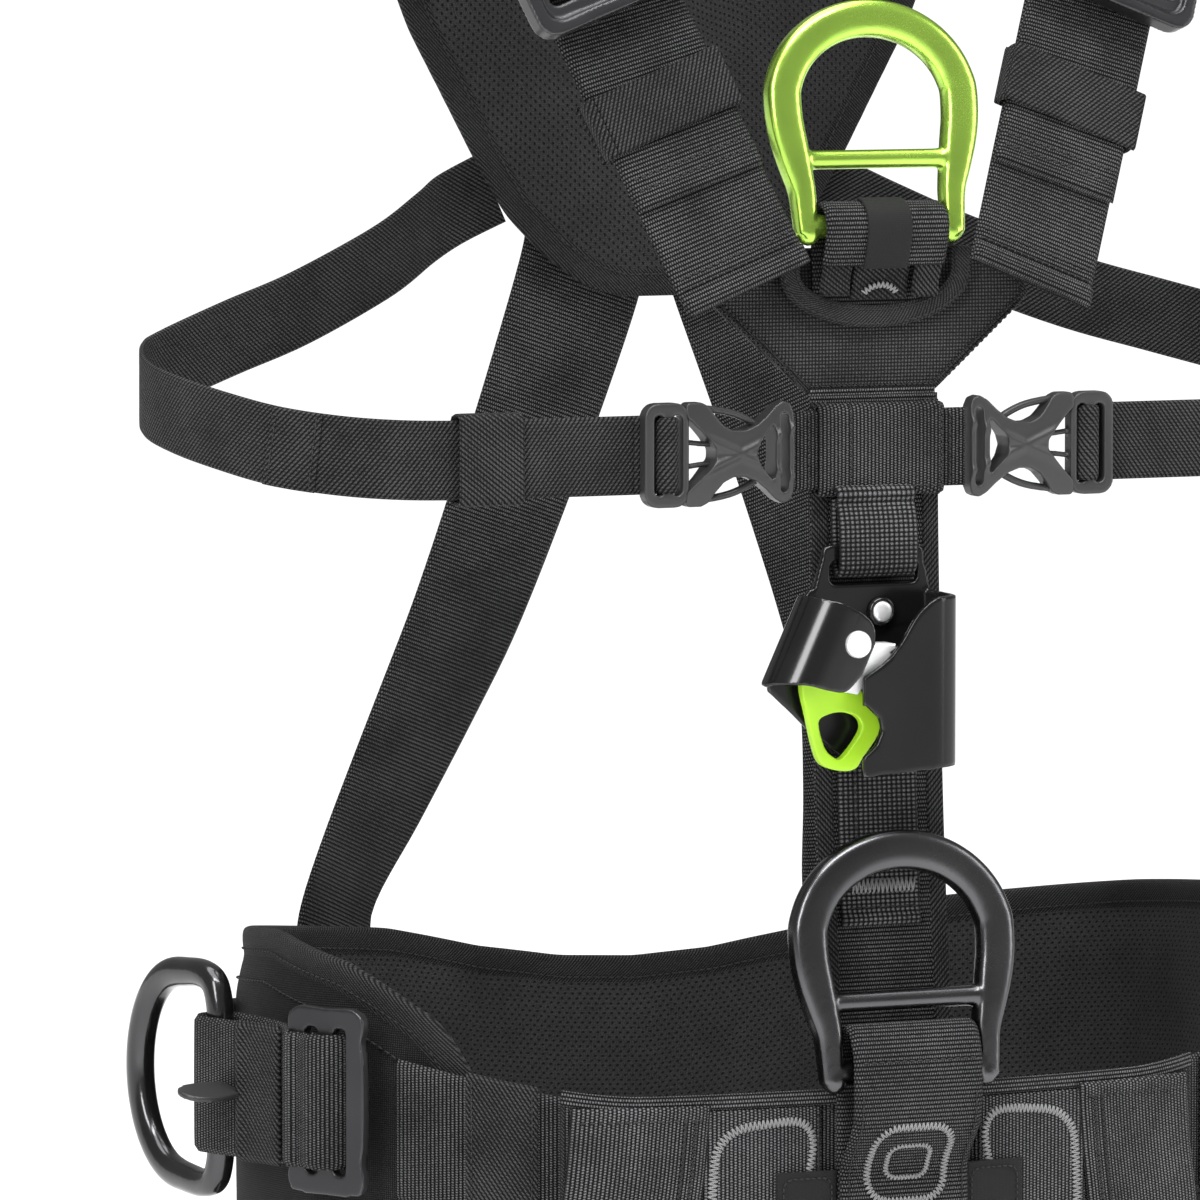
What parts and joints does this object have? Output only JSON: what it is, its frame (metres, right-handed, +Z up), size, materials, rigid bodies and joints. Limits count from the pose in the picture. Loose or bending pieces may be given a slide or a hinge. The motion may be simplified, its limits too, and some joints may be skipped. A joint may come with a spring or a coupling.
{
  "type": "climbing harness",
  "caption": "Full-body climbing harness with padded waist belt, leg loops, padded shoulder straps, chest rope ascender and D-rings at front, hips and back.",
  "frame": {"origin": "centre of the wearer's waist, at the height of the middle of the belt", "axes": "+Z up along the wearer's spine, +Y towards the wearer's back, +X to the wearer's left; the front faces -Y"},
  "size_m": [0.4292, 0.2426, 0.727],
  "materials": {
    "webbing": "black ribbed webbing",
    "elastic": "black twill tape",
    "padding": "black perforated mesh over foam",
    "plate_fabric": "black ballistic weave",
    "loop_webbing": "black coarse webbing",
    "black_alloy": "black anodised, satin",
    "green_alloy": "lime green anodised, glossy",
    "frame_steel": "black, semi-gloss",
    "bare_steel": "bare steel, satin",
    "buckle_plastic": "black, satin",
    "green_plastic": "lime green, satin",
    "buckle_metal": "dark grey, satin"
  },
  "bodies": {
    "harness": {"back_pad": "padding", "belt_front_band": "webbing", "belt_keeper_l": "elastic", "belt_keeper_r": "elastic", "belt_pad": "padding", "belt_rear_webbing": "webbing", "chest_centre_strap": "elastic", "chest_female_l": "buckle_plastic", "chest_female_r": "buckle_plastic", "chest_keeper_l": "elastic", "chest_keeper_r": "elastic", "chest_plate": "plate_fabric", "chest_sleeve": "webbing", "chest_strap_l": "elastic", "chest_strap_r": "elastic", "clamp_loop": "loop_webbing", "dorsal_loop": "webbing", "front_panel": "webbing", "front_strap": "webbing", "leg_pad_l": "padding", "leg_pad_r": "padding", "leg_rear_strap_l": "elastic", "leg_rear_strap_r": "elastic", "leg_riser_l": "webbing", "leg_riser_r": "webbing", "leg_strap_l": "webbing", "leg_strap_r": "webbing", "rear_strap_l": "webbing", "rear_strap_r": "webbing", "shoulder_keeper_l": "elastic", "shoulder_keeper_r": "elastic", "shoulder_pad_l": "padding", "shoulder_pad_r": "padding", "shoulder_strap_l": "webbing", "shoulder_strap_r": "webbing", "side_loop_l": "webbing", "side_loop_r": "webbing", "sternal_loop": "webbing", "ventral_strap": "webbing"},
    "ventral_ring": {"ventral_ring": "black_alloy"},
    "sternal_ring": {"sternal_ring": "green_alloy"},
    "dorsal_ring": {"dorsal_ring": "black_alloy"},
    "side_ring_r": {"side_ring_r": "black_alloy"},
    "side_ring_l": {"side_ring_l": "black_alloy"},
    "ascender": {"clamp_frame": "frame_steel", "clamp_guard": "frame_steel", "clamp_pin": "bare_steel", "clamp_rivet": "bare_steel"},
    "cam": {"clamp_cam": "bare_steel"},
    "trigger": {"clamp_trigger": "green_plastic"},
    "chest_male_r": {"chest_male_r": "buckle_plastic", "chest_tail_r": "elastic"},
    "chest_male_l": {"chest_male_l": "buckle_plastic", "chest_tail_l": "elastic"},
    "side_adjuster_r": {"side_adjuster_r": "buckle_metal"},
    "side_adjuster_l": {"side_adjuster_l": "buckle_metal"},
    "shoulder_buckle_r": {"shoulder_buckle_r": "buckle_metal"},
    "shoulder_buckle_l": {"shoulder_buckle_l": "buckle_metal"},
    "leg_buckle_r": {"leg_buckle_r": "buckle_metal"},
    "leg_buckle_l": {"leg_buckle_l": "buckle_metal"}
  },
  "joints": [
    {"name": "ventral_ring_swing", "type": "hinge", "parent": "harness", "child": "ventral_ring", "pos_m": [0, -0.1186, 0.036], "axis": [1, 0, 0], "range_deg": [-3, 85]},
    {"name": "sternal_ring_swing", "type": "hinge", "parent": "harness", "child": "sternal_ring", "pos_m": [0, -0.0945, 0.303], "axis": [1, 0, 0], "range_deg": [-5, 85]},
    {"name": "dorsal_ring_swing", "type": "hinge", "parent": "harness", "child": "dorsal_ring", "pos_m": [0, 0.0926, 0.352], "axis": [1, 0, 0], "range_deg": [-85, 5]},
    {"name": "side_ring_swing_r", "type": "hinge", "parent": "harness", "child": "side_ring_r", "pos_m": [-0.1875, 0.002, 0.027], "axis": [0, 0, 1], "range_deg": [-6, 90]},
    {"name": "side_ring_swing_l", "type": "hinge", "parent": "harness", "child": "side_ring_l", "pos_m": [0.1875, 0.002, 0.027], "axis": [0, 0, 1], "range_deg": [-90, 6]},
    {"name": "ascender_swing", "type": "hinge", "parent": "harness", "child": "ascender", "pos_m": [-0.003, -0.0986, 0.1995], "axis": [1, 0, 0], "range_deg": [-15, 0]},
    {"name": "cam_open", "type": "hinge", "parent": "ascender", "child": "cam", "pos_m": [-0.0188, -0.11, 0.1723], "axis": [0, 1, 0], "range_deg": [0, 35], "stiffness_Nm_per_rad": 0.05, "springref_deg": -17.19},
    {"name": "trigger_lift", "type": "hinge", "parent": "ascender", "child": "trigger", "pos_m": [-0.022, -0.1042, 0.161], "axis": [0, 1, 0], "range_deg": [0, 24.5]},
    {"name": "chest_release_r", "type": "slide", "parent": "harness", "child": "chest_male_r", "axis": [-1, 0, 0], "range_m": [0, 0.022]},
    {"name": "chest_release_l", "type": "slide", "parent": "harness", "child": "chest_male_l", "axis": [1, 0, 0], "range_m": [0, 0.022]},
    {"name": "side_adjuster_tilt_r", "type": "hinge", "parent": "harness", "child": "side_adjuster_r", "pos_m": [-0.18029, -0.04762, 0.028], "axis": [0, 0, -1], "range_deg": [0, 35]},
    {"name": "side_adjuster_tilt_l", "type": "hinge", "parent": "harness", "child": "side_adjuster_l", "pos_m": [0.18029, -0.04762, 0.028], "axis": [0, 0, 1], "range_deg": [0, 35]},
    {"name": "shoulder_buckle_tilt_r", "type": "hinge", "parent": "harness", "child": "shoulder_buckle_r", "pos_m": [-0.09262, -0.07687, 0.39575], "axis": [-0.9335, -0.0292, -0.3573], "range_deg": [0, 35]},
    {"name": "shoulder_buckle_tilt_l", "type": "hinge", "parent": "harness", "child": "shoulder_buckle_l", "pos_m": [0.09262, -0.07687, 0.39575], "axis": [-0.9335, 0.0292, 0.3573], "range_deg": [0, 35]},
    {"name": "leg_buckle_tilt_r", "type": "hinge", "parent": "harness", "child": "leg_buckle_r", "pos_m": [-0.16033, -0.06146, -0.16482], "axis": [-0.3746, 0, -0.9272], "range_deg": [0, 40]},
    {"name": "leg_buckle_tilt_l", "type": "hinge", "parent": "harness", "child": "leg_buckle_l", "pos_m": [0.16033, -0.06146, -0.16482], "axis": [-0.3746, 0, 0.9272], "range_deg": [0, 40]}
  ],
  "couplings": [
    {"joint": "trigger_lift", "follows": "cam_open", "ratio": 0.7}
  ]
}
